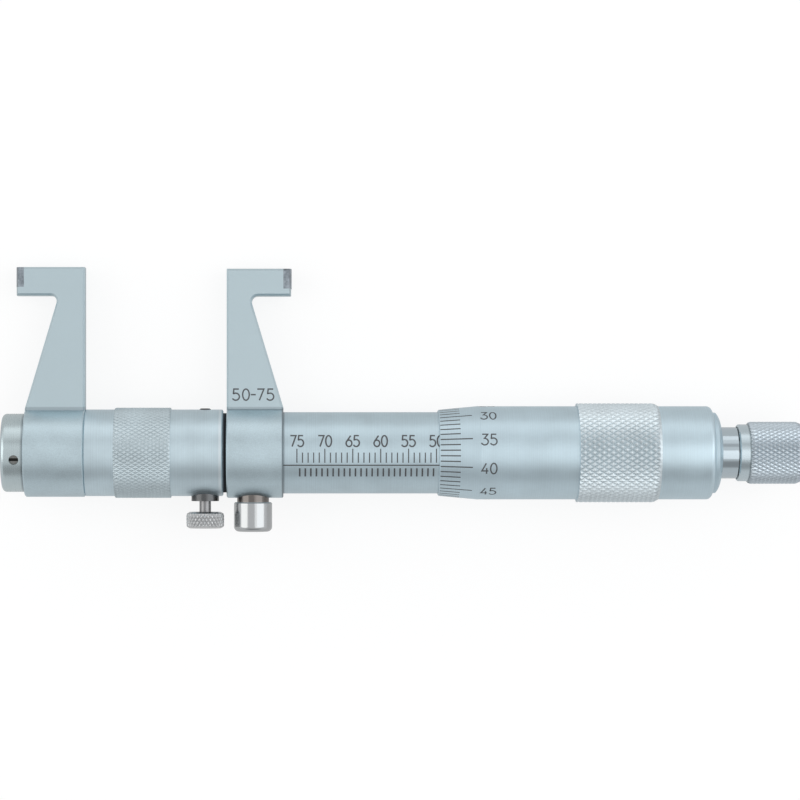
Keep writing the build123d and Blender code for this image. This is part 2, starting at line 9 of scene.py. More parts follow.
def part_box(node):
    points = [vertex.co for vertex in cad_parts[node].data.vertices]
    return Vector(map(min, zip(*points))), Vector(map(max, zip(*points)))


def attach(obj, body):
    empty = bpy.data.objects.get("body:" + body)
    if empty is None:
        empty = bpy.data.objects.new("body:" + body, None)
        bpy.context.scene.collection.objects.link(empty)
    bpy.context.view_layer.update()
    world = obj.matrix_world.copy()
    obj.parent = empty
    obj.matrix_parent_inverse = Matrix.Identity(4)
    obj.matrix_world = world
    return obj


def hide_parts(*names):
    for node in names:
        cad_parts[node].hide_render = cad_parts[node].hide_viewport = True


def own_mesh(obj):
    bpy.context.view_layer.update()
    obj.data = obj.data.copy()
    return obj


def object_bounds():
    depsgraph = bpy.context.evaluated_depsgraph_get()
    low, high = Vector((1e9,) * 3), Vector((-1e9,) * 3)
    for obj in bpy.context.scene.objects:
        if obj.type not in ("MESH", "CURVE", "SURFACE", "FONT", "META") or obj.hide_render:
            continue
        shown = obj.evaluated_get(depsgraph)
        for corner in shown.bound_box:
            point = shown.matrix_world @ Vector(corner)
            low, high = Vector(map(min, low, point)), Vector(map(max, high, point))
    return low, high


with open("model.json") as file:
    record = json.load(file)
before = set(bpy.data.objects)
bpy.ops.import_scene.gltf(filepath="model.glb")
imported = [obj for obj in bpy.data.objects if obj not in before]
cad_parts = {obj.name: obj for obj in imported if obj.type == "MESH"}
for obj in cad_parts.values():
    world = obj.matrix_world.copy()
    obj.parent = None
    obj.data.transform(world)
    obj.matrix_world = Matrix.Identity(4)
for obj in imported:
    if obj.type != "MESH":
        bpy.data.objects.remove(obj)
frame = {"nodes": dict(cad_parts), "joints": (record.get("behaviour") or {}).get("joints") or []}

# An inside micrometer with satin chrome jaws, knurled grips and black scales.
# Lengths are millimetres in the instrument's own frame until a mesh is placed:
# X runs along the axis from the fixed jaw's inner face towards the ratchet, Y is the
# way the hooks reach, and Z faces the reader. Angles are degrees, up from the reader.

cad_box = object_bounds()
bpy.context.scene.view_settings.view_transform = "Standard"
MM = 0.001

joints = {joint["name"]: joint for joint in frame["joints"]}
ALONG = Vector((1, 0, 0))
REACH = -Vector(joints["lock_press"]["axis"])
FACE = ALONG.cross(REACH)
ORIGIN = Vector(joints["thimble_turn"]["pos_m"])
TURN = Matrix((ALONG, REACH, FACE)).transposed().to_4x4()
TO_WORLD = Matrix.Translation(ORIGIN) @ TURN @ Matrix.Scale(MM, 4)


def station(node, side):
    """Where a node starts (0) or ends (1) along the axis."""
    return (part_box(node)[side].x - ORIGIN.x) / MM


def round_radius(node):
    """The radius of a node that is round about the axis."""
    low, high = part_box(node)
    return (high.y - low.y) / MM / 2


def reach_of(node, side):
    """How far a node that stands across the axis comes below it, at its near or far end."""
    offsets = [(vertex.co - ORIGIN).dot(-REACH) / MM for vertex in frame["nodes"][node].data.vertices]
    return (min(offsets), max(offsets))[side]


# Camera, from the photograph's scale at the axis and the point that it looks straight at
IMAGE = 800
SENSOR = 36.0
PIXELS_PER_MM = 5.51
DISTANCE = 545.0
LOOK_X = 11.45
LOOK_PIXEL = (290.0, 452.8)

# Fits and edges that several pieces share
EDGE = 0.2
BORE_FIT = 0.02

# Thimble
SLEEVE_PLAY = 0.06
EDGE_WALL = 0.36
EDGE_BREAK = 0.12
BEVEL_LENGTH = 7.3
BEVEL_RISE = 0.03
THIMBLE_WALL = 1.01
GRIP_START = 25.13
GRIP_LENGTH = 13.95
GRIP_RUNOUT = 0.7
END_WEB = 4.8
END_ROUND = 0.9
CAP_RECESS = 1.0

# Extension tube
TUBE_GRIP_START = 5.4
TUBE_GRIP_LENGTH = 10.18
TUBE_GRIP_CHAMFER = 0.15
TUBE_GRIP_RISE = 0.33
POCKET_DEPTH = 0.8
POCKET_ROOM = 0.1

# Ratchet knob
COLLAR_LENGTH = 1.9
COLLAR_STEP = 0.47
KNOB_START_CHAMFER = 0.3
KNOB_END_CHAMFER = 1.1
KNOB_END_DROP = 0.5
KNOB_CAVITY = 4.35
KNOB_WALL = 2.0
KNOB_RECESS = 3.1
KNOB_WALL_INSET = 3.0
HUB = 2.2
RUNNING = 0.03
RIM = 1.2
LUG_HALF = 0.78
LUG_RADIUS = 4.75
CLUTCH_ROOM = 0.51

# Ratchet spring
SPRING_WIRE = 0.25
SPRING_TURNS = 4
SPRING_STEPS = 40
SPRING_SIDES = 10

# Bush and thumb screw
BUSH_SEAT = 7.4
BUSH_SHANK = 1.8
THUMB_HEAD_LENGTH = 2.98
THUMB_SHANK = 1.05
THUMB_SHANK_END = 10.75
THUMB_CHAMFER = 0.3
THUMB_EDGE = 0.12

# Knurls as (length of a diamond along the axis, diamonds round, depth, flat top)
THIMBLE_KNURL = (1.677, 52, 0.3, 0.26)
TUBE_KNURL = (1.336, 65, 0.12, 0.35)
KNOB_KNURL = (1.42, 45, 0.17, 0.3)
THUMB_KNURL = (1.1, 30, 0.2, 0.25)

# Graduations, with the sleeve's places round it in degrees
SCALE_LOW = 50
SCALE_HIGH = 75
ZERO_INSET = 2.44
INDEX_TURN = -17.65
TICK_FOOT = -14.0
TICK_HEAD = 0.3
LONG_TICK_HEAD = 5.7
HALF_TICK_HEAD = -22.1
HALF_TICK_FOOT = -35.1
SLEEVE_DIGIT_TURN = 16.7
SLEEVE_DIGIT_HEIGHT = 2.05
SLEEVE_DIGIT_SPACING = 0.16
SLEEVE_STROKE = 0.28
DIVISIONS = 50
INDEX_DIVISION = 40
THIMBLE_SCALE_TURN = -0.6
THIMBLE_TICK_START = 0.15
THIMBLE_TICK = 3.75
THIMBLE_LONG_TICK = 5.9
THIMBLE_DIGIT_STATION = 8.85
THIMBLE_DIGIT_HEIGHT = 2.0
THIMBLE_DIGIT_STRETCH = 1.12
THIMBLE_DIGIT_DROP = 0.2
RANGE_MIDDLE = 4.81
RANGE_HALF = 2.21
RANGE_DASH = 0.45
RANGE_FOOT = 9.5
RANGE_SPACING = 0.29
RANGE_HEIGHT = 2.02
RANGE_STRETCH = 1.18
RANGE_STROKE = 0.26
PLATE_HALF = 2.2
LINE = 0.2
HALF_LINE = 0.29
INDEX_LINE = 0.22
THIMBLE_LINE = 0.23
THIMBLE_STROKE = 0.25
PAINT_LIFT = 0.004
PAINT_DEPTH = 0.03
FINEST = 0.25

# Meshes and the point attributes that the knurls carry for their painted groove shade, their painted light
# tint and their roughness
GROOVE = "groove"
KNURLED = "knurled"
SMOOTH_ANGLE = radians(20)
SEGMENTS = 192

# Places where a finish, a painted shade or a painted highlight changes
RING_RIGHT = 10.25
RING_LENGTH = 10.85
PLATE_START = 8.2
LOCK_NECK_END = 8.95
SLOT_HALF = 0.23
SLOT_OVER_RIM = 0.835

# Tones of those places, most of them painted shade and one a painted highlight
# Painted shade: the flat plate's tone, darker than its ring for the way its flat face takes the light.
PLATE_PAINTED_SHADE = (0.518, 0.619, 0.659)
# Painted shade where the plate meets the ring.
PLATE_JOIN_SHADE = (0.375, 0.45, 0.485)
# Painted shade at edges where parts meet: the fixed ring's right edge and the end cap beside the moving
# ring.
EDGE_SHADE = (0.22, 0.265, 0.29)
# Painted shade on the sleeve next to the fixed ring.
SEAT_SHADE = (0.38, 0.45, 0.49)
# Painted highlight on the chamfer at the extension tube's end.
RIM_HIGHLIGHT = (0.68, 0.76, 0.8)
# Painted shade at the step from the ratchet knob's collar to its knurl.
COLLAR_SHADE = (0.38, 0.44, 0.47)
# The lock knob's neck: a brownish tone, darkened further as painted shade under the fixed ring.
NECK_TONE_AND_SHADE = (0.18, 0.165, 0.155)
# The thumb screw's shank, coloured darker than its head.
SHANK_DARKER = (0.27, 0.27, 0.275)
# Painted shade in the end cap's set screw slot.
SLOT_SHADE = (0.03, 0.03, 0.028)
LIP_GREY = (0.1, 0.12, 0.14)

# Metal: noise scales and shares, the noise that a tone spans, relief in metres and the tone of the painted
# shade in knurl grooves
CLOUD_SCALE = 180.0
LINES_SHARE = 0.65
SURFACE_SHARE = 0.55
TONE_RANGE = (0.3, 0.7)
RELIEF_DEPTH = 0.00002
GROOVE_SHADE_TONE = 0.3

# Floor and surround
FLOOR_GAP = 0.00005
FLOOR_WIDTH = 8.0
FLOOR_COLOUR = (0.2, 0.2, 0.2)
FLOOR_GLOW = 0.82
FLOOR_MIRROR_SHARE = 0.63
SKY_LOW = 0.86
SKY_HIGH = 0.8
SKY_LEAN = 0.15
SKY_COLOUR = (0.98, 0.99, 1.0)

# Darker strips of the surround as (direction, nearness from start to full, strength)
SKY_STRIPS = [((0, -0.81, 0.59), (0.93, 0.99), 0.38), ((0, 0.56, 0.83), (0.985, 0.997), 0.6)]
SKY_STRIP_REACH = (0.75, 0.35)

# Lamps
LAMP_DISTANCE = 0.9
LAMP_SIDE = 1.0
LAMP_BACK = 0.22
LAMP_TOP = 0.6
WARM = (1, 0.985, 0.95)
COOL = (0.955, 0.98, 1)


def on_axis(x, radius, angle):
    """A point on a round surface about the axis."""
    return Vector((x, radius * sin(radians(angle)), radius * cos(radians(angle))))


def angle_of(vertex):
    """The angle of a point about the axis, from 0 to 360."""
    return degrees(atan2(vertex.co.y, vertex.co.z)) % 360


def finish_piece(name, bm, body, material, replaced=(), stand=Matrix.Identity(4)):
    """Turns a mesh in the instrument's frame into a placed, shaded piece on its body."""
    bmesh.ops.recalc_face_normals(bm, faces=bm.faces)
    mesh = bpy.data.meshes.new(name)
    bm.to_mesh(mesh)
    bm.free()
    mesh.transform(TO_WORLD @ stand)
    mesh.polygons.foreach_set("use_smooth", [True] * len(mesh.polygons))
    mesh.set_sharp_from_angle(angle=SMOOTH_ANGLE)
    mesh.materials.append(material)
    piece = bpy.data.objects.new(name, mesh)
    bpy.context.scene.collection.objects.link(piece)
    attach(piece, body)
    if replaced:
        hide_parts(*replaced)
    return piece


def spin(bm, profile):
    """Spins an open run of (station, radius) points about the axis and gives its rings."""
    turns = [360 * i / SEGMENTS for i in range(SEGMENTS)]
    rings = [[bm.verts.new(on_axis(x, radius, turn)) for turn in turns] for x, radius in profile]
    for ring, other in zip(rings, rings[1:]):
        for i in range(SEGMENTS):
            j = (i + 1) % SEGMENTS
            bm.faces.new((ring[i], ring[j], other[j], other[i]))
    return rings


def close_end(bm, ring):
    """Closes a round end with a flat face."""
    bm.faces.new(ring)


def zip_rings(bm, ring, other):
    """Joins two rings of any number of points with triangles, by their angles."""
    first = sorted(ring, key=angle_of)
    second = sorted(other, key=angle_of)
    i = j = 0
    while i < len(first) or j < len(second):
        next_first = angle_of(first[i + 1]) if i + 1 < len(first) else 360 + angle_of(first[0])
        next_second = angle_of(second[j + 1]) if j + 1 < len(second) else 360 + angle_of(second[0])
        a, b = first[i % len(first)], second[j % len(second)]
        if j >= len(second) or (i < len(first) and next_first <= next_second):
            i += 1
            c = first[i % len(first)]
        else:
            j += 1
            c = second[j % len(second)]
        bm.faces.new((a, b, c))


def rounded(centre, radius, start, end, steps=6):
    """Points of a round corner of a profile."""
    turns = [radians(start + (end - start) * i / steps) for i in range(steps + 1)]
    return [(centre[0] + radius * cos(t), centre[1] + radius * sin(t)) for t in turns]


def envelope(points, x):
    """The radius at a station on a run of (station, radius) points."""
    for (left, low), (right, high) in zip(points, points[1:]):
        if x <= right:
            return low + (high - low) * (max(x, left) - left) / (right - left)
    return points[-1][1]


def knurl(bm, outline, pattern):
    """A band of raised diamonds under an outline of (station, radius) points; gives its end rings."""
    axial, around, depth, flat = pattern
    left, right = outline[0][0], outline[-1][0]
    crest = max(radius for _, radius in outline)
    half, step = axial / 2, 180 / around
    groove_layer = bm.verts.layers.float.get(GROOVE) or bm.verts.layers.float.new(GROOVE)
    knurled_layer = bm.verts.layers.float.get(KNURLED) or bm.verts.layers.float.new(KNURLED)
    corners = {}

    def point(x, drop, turn):
        return on_axis(x, min(crest - drop, envelope(outline, x)), turn)

    def groove(i, j):
        key = (i, j % (2 * around))
        if key not in corners:
            corners[key] = bm.verts.new(point(left + (i - 1) * half, depth, j * step))
            corners[key][groove_layer] = corners[key][knurled_layer] = 1
        return corners[key]

    faces = []
    for i in range(int((right - left) / half) + 4):
        for j in range(i % 2, 2 * around, 2):
            x = left + (i - 1) * half
            foot = [groove(i - 1, j), groove(i, j - 1), groove(i + 1, j), groove(i, j + 1)]
            ways = ((-half, 0), (0, -step), (half, 0), (0, step))
            top = [bm.verts.new(point(x + flat * dx, 0, j * step + flat * dt)) for dx, dt in ways]
            for vertex in top:
                vertex[knurled_layer] = 1
            for k in range(4):
                faces.append(bm.faces.new((foot[k], foot[(k + 1) % 4], top[(k + 1) % 4], top[k])))
            faces.append(bm.faces.new(top))
    return [trim(bm, faces, left, -1), trim(bm, faces, right, 1)]


def trim(bm, faces, x, side):
    """Cuts a band off square at a station and gives the ring of points on the cut."""
    faces[:] = [face for face in faces if face.is_valid]
    edges = {edge for face in faces for edge in face.edges}
    points = {vertex for face in faces for vertex in face.verts}
    cut = bmesh.ops.bisect_plane(
        bm,
        geom=list(points) + list(edges) + faces,
        plane_co=(x, 0, 0),
        plane_no=(side, 0, 0),
        clear_outer=True,
        dist=1e-6,
    )
    faces[:] = [item for item in cut["geom"] if isinstance(item, bmesh.types.BMFace) and item.is_valid]
    return [item for item in cut["geom_cut"] if isinstance(item, bmesh.types.BMVert)]


def make_thimble(material):
    """Barrel with bevelled scale edge, knurled grip, round end and its bore."""
    edge, end = station("thimble", 0), station("thimble", 1)
    bore = round_radius("scale_sleeve") + SLEEVE_PLAY
    body = bore + THIMBLE_WALL
    lip = bore + EDGE_WALL
    grip = round_radius("thimble")
    spindle = round_radius("spindle_retainer") + BORE_FIT
    grip_left = edge + GRIP_START
    grip_right = grip_left + GRIP_LENGTH
    cap = round_radius("thimble_cap") + BORE_FIT
    web = end - END_WEB
    bm = bmesh.new()
    outline = [(grip_left, grip), (grip_right, grip), (grip_right + GRIP_RUNOUT, body)]
    start_ring, end_ring = knurl(bm, outline, THIMBLE_KNURL)
    inside = [
        (end, cap), (end - CAP_RECESS, cap), (end - CAP_RECESS, spindle),
        (web, spindle), (web, bore), (edge, bore),
    ]
    outside = [
        (edge, lip - EDGE_BREAK), (edge + EDGE_BREAK, lip), (edge + BEVEL_LENGTH, body + BEVEL_RISE),
        (edge + BEVEL_LENGTH + BEVEL_RISE, body), (grip_left, body),
    ]
    corner = rounded((end - END_ROUND, body - END_ROUND), END_ROUND, 90, 0)
    rings = spin(bm, [(grip_right + GRIP_RUNOUT, body), *corner, *inside, *outside])
    zip_rings(bm, end_ring, rings[0])
    zip_rings(bm, start_ring, rings[-1])
    finish_piece("thimble_knurled", bm, "thimble", material, ["thimble"])


def drill(piece, cutters):
    """Cuts holes in a piece with closed meshes given in the instrument's frame."""
    tools = []
    for bm in cutters:
        bmesh.ops.recalc_face_normals(bm, faces=bm.faces)
        mesh = bpy.data.meshes.new("cutter")
        bm.to_mesh(mesh)
        bm.free()
        mesh.transform(TO_WORLD)
        tool = bpy.data.objects.new("cutter", mesh)
        bpy.context.scene.collection.objects.link(tool)
        cut = piece.modifiers.new("hole", "BOOLEAN")
        cut.operation = "DIFFERENCE"
        cut.solver = "EXACT"
        cut.object = tool
        tools.append(tool)
    bpy.context.view_layer.update()
    drilled = bpy.data.meshes.new_from_object(piece.evaluated_get(bpy.context.evaluated_depsgraph_get()))
    piece.modifiers.clear()
    old, piece.data = piece.data, drilled
    name = old.name
    bpy.data.meshes.remove(old)
    drilled.name = name
    drilled.set_sharp_from_angle(angle=SMOOTH_ANGLE)
    for tool in tools:
        mesh = tool.data
        bpy.data.objects.remove(tool)
        bpy.data.meshes.remove(mesh)


def cross_pin(station_x, way, low, high, radius, segments=64):
    """A closed round bar across the axis, pointing up (1) or down (-1) from the axis."""
    bm = bmesh.new()
    rings = []
    for distance in (low, high):
        turns = [2 * pi * i / segments for i in range(segments)]
        spots = [(station_x + radius * cos(t), way * distance, radius * sin(t)) for t in turns]
        rings.append([bm.verts.new(spot) for spot in spots])
    for i in range(segments):
        j = (i + 1) % segments
        bm.faces.new((rings[0][i], rings[0][j], rings[1][j], rings[1][i]))
    bm.faces.new(rings[0])
    bm.faces.new(rings[1])
    return bm


def block(low, high):
    """A closed box between two corners."""
    bm = bmesh.new()
    bmesh.ops.create_cube(bm, size=1)
    size = Vector(high) - Vector(low)
    middle = (Vector(high) + Vector(low)) / 2
    for vertex in bm.verts:
        vertex.co = Vector([vertex.co[k] * size[k] + middle[k] for k in range(3)])
    return bm


def make_tube(material):
    """Extension tube with its fine knurled band and its two cross holes."""
    left, right = station("extension_tube", 0), station("extension_tube", 1)
    grip = round_radius("extension_tube")
    radius = grip - TUBE_GRIP_RISE
    bore = round_radius("guide_rod") + BORE_FIT
    pocket = round_radius("wiper_ring") + POCKET_ROOM
    floor = right - POCKET_DEPTH
    grip_left = left + TUBE_GRIP_START
    grip_right = grip_left + TUBE_GRIP_LENGTH
    chamfered = grip - TUBE_GRIP_CHAMFER
    bm = bmesh.new()
    outline = [
        (grip_left, chamfered), (grip_left + TUBE_GRIP_CHAMFER, grip),
        (grip_right - TUBE_GRIP_CHAMFER, grip), (grip_right, chamfered),
    ]
    start_ring, end_ring = knurl(bm, outline, TUBE_KNURL)
    rings = spin(bm, [
        (grip_right, radius), (right - EDGE, radius), (right, radius - EDGE), (right, pocket),
        (floor, pocket), (floor, bore), (left, bore),
        (left, radius - EDGE), (left + EDGE, radius), (grip_left, radius),
    ])
    zip_rings(bm, end_ring, rings[0])
    zip_rings(bm, start_ring, rings[-1])
    tube = finish_piece("extension_tube_knurled", bm, "carriage", material, ["extension_tube"])
    low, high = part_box("thumb_screw_bush")
    clamp = ((low.x + high.x) / 2 - ORIGIN.x) / MM
    bush = (high.x - low.x) / MM / 2
    low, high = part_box("locating_pin")
    pin = (high.x - low.x) / MM / 2
    drill(tube, [
        cross_pin(clamp, -1, BUSH_SEAT, 2 * grip, bush + BORE_FIT),
        cross_pin(clamp, -1, bore / 2, BUSH_SEAT + EDGE, BUSH_SHANK + BORE_FIT),
        cross_pin(clamp, 1, bore / 2, 2 * grip, pin + BORE_FIT),
    ])


def make_knob(material):
    """Ratchet knob with its smooth collar, fine knurl, cavity and keyways."""
    left, right = station("ratchet_knob", 0), station("ratchet_knob", 1)
    grip = round_radius("ratchet_knob")
    collar = grip - COLLAR_STEP
    hub = HUB + RUNNING
    wall_right = right - KNOB_WALL_INSET
    wall_left = wall_right - KNOB_WALL
    grip_left = left + COLLAR_LENGTH
    bm = bmesh.new()
    outline = [
        (grip_left, grip - KNOB_START_CHAMFER), (grip_left + KNOB_START_CHAMFER, grip),
        (right - KNOB_END_CHAMFER, grip), (right, grip - KNOB_END_DROP),
    ]
    start_ring, end_ring = knurl(bm, outline, KNOB_KNURL)
    rings = spin(bm, [
        (right, KNOB_RECESS + RIM), (right, KNOB_RECESS), (wall_right, KNOB_RECESS), (wall_right, hub),
        (wall_left, hub), (wall_left, KNOB_CAVITY), (left, KNOB_CAVITY),
        (left, collar - EDGE), (left + EDGE, collar), (grip_left, collar),
    ])
    zip_rings(bm, end_ring, rings[0])
    zip_rings(bm, start_ring, rings[-1])
    knob = finish_piece("ratchet_knob_knurled", bm, "ratchet", material, ["ratchet_knob"])
    slot = station("ratchet_clutch", 1) + CLUTCH_ROOM
    drill(knob, [block((left - 1, -LUG_RADIUS, -LUG_HALF), (slot, LUG_RADIUS, LUG_HALF))])


def make_thumb_screw(material):
    """Thumb screw: a plain shank and a round knurled head."""
    low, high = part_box("thumb_screw")
    clamp = ((low.x + high.x) / 2 - ORIGIN.x) / MM
    grip = (high.x - low.x) / MM / 2
    foot = reach_of("thumb_screw", 0)
    end = reach_of("thumb_screw", 1)
    start = end - THUMB_HEAD_LENGTH
    bm = bmesh.new()
    outline = [
        (start + THUMB_CHAMFER, grip - THUMB_EDGE), (start + 2 * THUMB_CHAMFER, grip),
        (end - 2 * THUMB_CHAMFER, grip), (end - THUMB_CHAMFER, grip - THUMB_EDGE),
    ]
    start_ring, end_ring = knurl(bm, outline, THUMB_KNURL)
    floor = grip - THUMB_CHAMFER / 2 - THUMB_KNURL[2]
    far = spin(bm, [(end - THUMB_CHAMFER / 2, floor), (end, grip - 2 * THUMB_CHAMFER)])
    near = spin(bm, [
        (foot, THUMB_SHANK), (start, THUMB_SHANK), (start, grip - 2 * THUMB_CHAMFER),
        (start + THUMB_CHAMFER / 2, floor),
    ])
    zip_rings(bm, end_ring, far[0])
    zip_rings(bm, start_ring, near[-1])
    close_end(bm, far[-1])
    close_end(bm, near[0])
    stand = Matrix.Translation((clamp, 0, 0)) @ Matrix.Rotation(-pi / 2, 4, "Z")
    replaced = ["thumb_screw"]
    finish_piece("thumb_screw_knurled", bm, "thumb_screw", material, replaced, stand)


def make_spring(material):
    """The ratchet's coil spring, built as one fixed coil; the real one shortens as the clutch backs off
    against it.
    """
    bm = bmesh.new()
    left = station("ratchet_spring", 0) + SPRING_WIRE
    right = station("ratchet_spring", 1) - SPRING_WIRE
    radius = round_radius("ratchet_spring") - SPRING_WIRE
    steps = SPRING_TURNS * SPRING_STEPS
    around = [2 * pi * i / SPRING_SIDES for i in range(SPRING_SIDES)]
    rings = []
    for i in range(steps + 1):
        x = left + (right - left) * i / steps
        turn = 360 * i / SPRING_STEPS
        wire = [(x + SPRING_WIRE * sin(way), radius + SPRING_WIRE * cos(way)) for way in around]
        rings.append([bm.verts.new(on_axis(place, reach, turn)) for place, reach in wire])
    for ring, other in zip(rings, rings[1:]):
        for i in range(SPRING_SIDES):
            j = (i + 1) % SPRING_SIDES
            bm.faces.new((ring[i], ring[j], other[j], other[i]))
    close_end(bm, rings[0])
    close_end(bm, rings[-1])
    spring = finish_piece("ratchet_spring_coil", bm, "ratchet", material, ["ratchet_spring"])
    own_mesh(spring)


def bend(centre, size, start, end, steps=10):
    """Points on an ellipse, from one angle to another, for a curved stroke."""
    turns = [radians(start + (end - start) * i / steps) for i in range(steps + 1)]
    return [(centre[0] + size[0] * cos(t), centre[1] + size[1] * sin(t)) for t in turns]


# Strokes of each numeral on a cell one unit high and GLYPH_WIDTH wide
GLYPH_WIDTH = 0.5
GLYPHS = {
    "0": [bend((0.25, 0.5), (0.25, 0.5), 90, 450, 28)],
    "1": [[(0.06, 0.74), (0.3, 1), (0.3, 0)]],
    "2": [bend((0.25, 0.74), (0.24, 0.26), 170, -38, 12) + [(0, 0), (0.5, 0)]],
    "3": [[(0.02, 1), (0.47, 1), (0.2, 0.6)] + bend((0.22, 0.3), (0.28, 0.3), 84, -160, 14)],
    "4": [[(0.34, 1), (0, 0.28), (0.52, 0.28)], [(0.38, 0.55), (0.38, 0)]],
    "5": [[(0.46, 1), (0.08, 1), (0.04, 0.54)] + bend((0.22, 0.32), (0.28, 0.32), 128, -150, 14)],
    "6": [[(0.4, 1), (0.05, 0.46)] + bend((0.25, 0.29), (0.25, 0.29), 160, 500, 22)],
    "7": [[(0, 1), (0.5, 1), (0.16, 0)]],
}


def divided(points, finest):
    """A run of points with its long steps split, so that it can follow a round surface."""
    run = [Vector(points[0])]
    for point in points[1:]:
        step = Vector(point) - run[-1]
        parts = max(1, int(step.length / finest + 0.999))
        start = run[-1]
        run += [start + step * (k / parts) for k in range(1, parts + 1)]
    return run


def stroke(bm, points, width, drape):
    """A thin closed ribbon along a run of flat points, laid on a surface by drape(u, v, lift)."""
    run = divided(points, FINEST)
    closed = len(run) > 3 and (run[0] - run[-1]).length < 1e-6
    if closed:
        run.pop()
    sections = []
    for i, point in enumerate(run):
        before = run[i - 1] if closed or i else point
        after = run[(i + 1) % len(run)] if closed or i + 1 < len(run) else point
        into, out = point - before, after - point
        into = into.normalized() if into.length else out.normalized()
        out = out.normalized() if out.length else into
        middle = into + out
        middle = middle.normalized() if middle.length > 0.2 else out
        side = Vector((-middle.y, middle.x))
        reach = width / 2 / max(0.5, middle.dot(out))
        spots = (
            (point + side * reach, PAINT_LIFT), (point - side * reach, PAINT_LIFT),
            (point - side * reach, -PAINT_DEPTH), (point + side * reach, -PAINT_DEPTH),
        )
        sections.append([bm.verts.new(drape(spot.x, spot.y, lift)) for spot, lift in spots])
    for i in range(len(sections) if closed else len(sections) - 1):
        here, there = sections[i], sections[(i + 1) % len(sections)]
        for k in range(4):
            m = (k + 1) % 4
            bm.faces.new((here[k], here[m], there[m], there[k]))
    if not closed:
        bm.faces.new(sections[0])
        bm.faces.new(sections[-1])


def write(bm, text, centre, height, width, drape, spacing=0.22, stretch=1.0):
    """Numerals centred on a flat point, as strokes laid on a surface."""
    advance = (GLYPH_WIDTH * stretch + spacing) * height
    left = centre[0] - (advance * len(text) - spacing * height) / 2
    for k, sign in enumerate(text):
        for line in GLYPHS[sign]:
            across = [left + k * advance + u * stretch * height for u, _ in line]
            up = [centre[1] + (v - 0.5) * height for _, v in line]
            stroke(bm, list(zip(across, up)), width, drape)


def round_drape(radius, turn=0.0):
    """Lays flat (along, round) millimetres on a cylinder, from a starting angle."""
    return lambda u, v, lift: on_axis(u, radius + lift, turn + degrees(v / radius))


def make_sleeve_marks(material):
    """Reader's line, millimetre and half-millimetre ticks and numerals of the sleeve."""
    radius = round_radius("scale_sleeve")
    zero = station("scale_sleeve", 0) + ZERO_INSET
    drape = round_drape(radius)
    arc = radians(1) * radius
    bm = bmesh.new()
    for k in range(SCALE_HIGH - SCALE_LOW + 1):
        x = zero + k
        long = k % 5 == 0
        stroke(bm, [(x, TICK_FOOT * arc), (x, (LONG_TICK_HEAD if long else TICK_HEAD) * arc)], LINE, drape)
        if k:
            stroke(bm, [(x - 0.5, HALF_TICK_FOOT * arc), (x - 0.5, HALF_TICK_HEAD * arc)], HALF_LINE, drape)
        if long:
            write(
                bm, str(SCALE_HIGH - k), (x, SLEEVE_DIGIT_TURN * arc), SLEEVE_DIGIT_HEIGHT, SLEEVE_STROKE,
                drape, SLEEVE_DIGIT_SPACING,
            )
    start, end = station("scale_sleeve", 0), station("thimble", 0) + 1
    stroke(bm, [(start, INDEX_TURN * arc), (end, INDEX_TURN * arc)], INDEX_LINE, drape)
    finish_piece("sleeve_graduations", bm, "frame", material)


def make_thimble_marks(material):
    """Fifty divisions round the thimble's bevel and a numeral at every fifth."""
    edge = station("thimble", 0)
    lip = round_radius("scale_sleeve") + SLEEVE_PLAY + EDGE_WALL
    body = round_radius("scale_sleeve") + SLEEVE_PLAY + THIMBLE_WALL
    top = body + BEVEL_RISE
    bm = bmesh.new()

    def on_bevel(u, v, lift):
        share = (u - edge - EDGE_BREAK) / (BEVEL_LENGTH - EDGE_BREAK)
        radius = lip + (top - lip) * share
        return on_axis(u, radius + lift, degrees(v / body))

    arc = radians(1) * body
    for n in range(DIVISIONS):
        turn = INDEX_TURN + THIMBLE_SCALE_TURN - (n - INDEX_DIVISION) * 360 / DIVISIONS
        length = THIMBLE_LONG_TICK if n % 5 == 0 else THIMBLE_TICK
        spots = [(edge + THIMBLE_TICK_START, turn * arc), (edge + length, turn * arc)]
        stroke(bm, spots, THIMBLE_LINE, on_bevel)
        if n % 5 == 0:
            centre = (edge + THIMBLE_DIGIT_STATION, turn * arc - THIMBLE_DIGIT_DROP)
            write(
                bm, str(n), centre, THIMBLE_DIGIT_HEIGHT, THIMBLE_STROKE, round_drape(body),
                stretch=THIMBLE_DIGIT_STRETCH,
            )
    finish_piece("thimble_graduations", bm, "thimble", material)


def make_jaw_marks(material):
    """Measuring range on the fixed jaw's plate."""
    middle = station("fixed_jaw", 0) + RANGE_MIDDLE
    height = RANGE_FOOT + RANGE_HEIGHT / 2
    bm = bmesh.new()

    def on_plate(u, v, lift):
        return Vector((u, v, PLATE_HALF + lift))

    for number, side in ((SCALE_LOW, -1), (SCALE_HIGH, 1)):
        centre = (middle + side * RANGE_HALF, height)
        write(bm, str(number), centre, RANGE_HEIGHT, RANGE_STROKE, on_plate, RANGE_SPACING, RANGE_STRETCH)
    stroke(bm, [(middle - RANGE_DASH, height), (middle + RANGE_DASH, height)], RANGE_STROKE, on_plate)
    finish_piece("jaw_range", bm, "frame", material)


def shader(name):
    """A new node material, its tree and its Principled shader."""
    material = bpy.data.materials.new(name)
    material.use_nodes = True
    return material, material.node_tree, material.node_tree.nodes["Principled BSDF"]


def node(tree, kind, **values):
    """Adds a node, sets its properties and plain inputs, and links inputs given as sockets."""
    item = tree.nodes.new(kind)
    for key, value in values.items():
        if hasattr(item, key):
            setattr(item, key, value)
            continue
        socket = item.inputs[int(key[1:]) if key[1:].isdigit() else key.replace("_", " ")]
        if isinstance(value, bpy.types.NodeSocket):
            tree.links.new(value, socket)
        else:
            socket.default_value = value
    return item


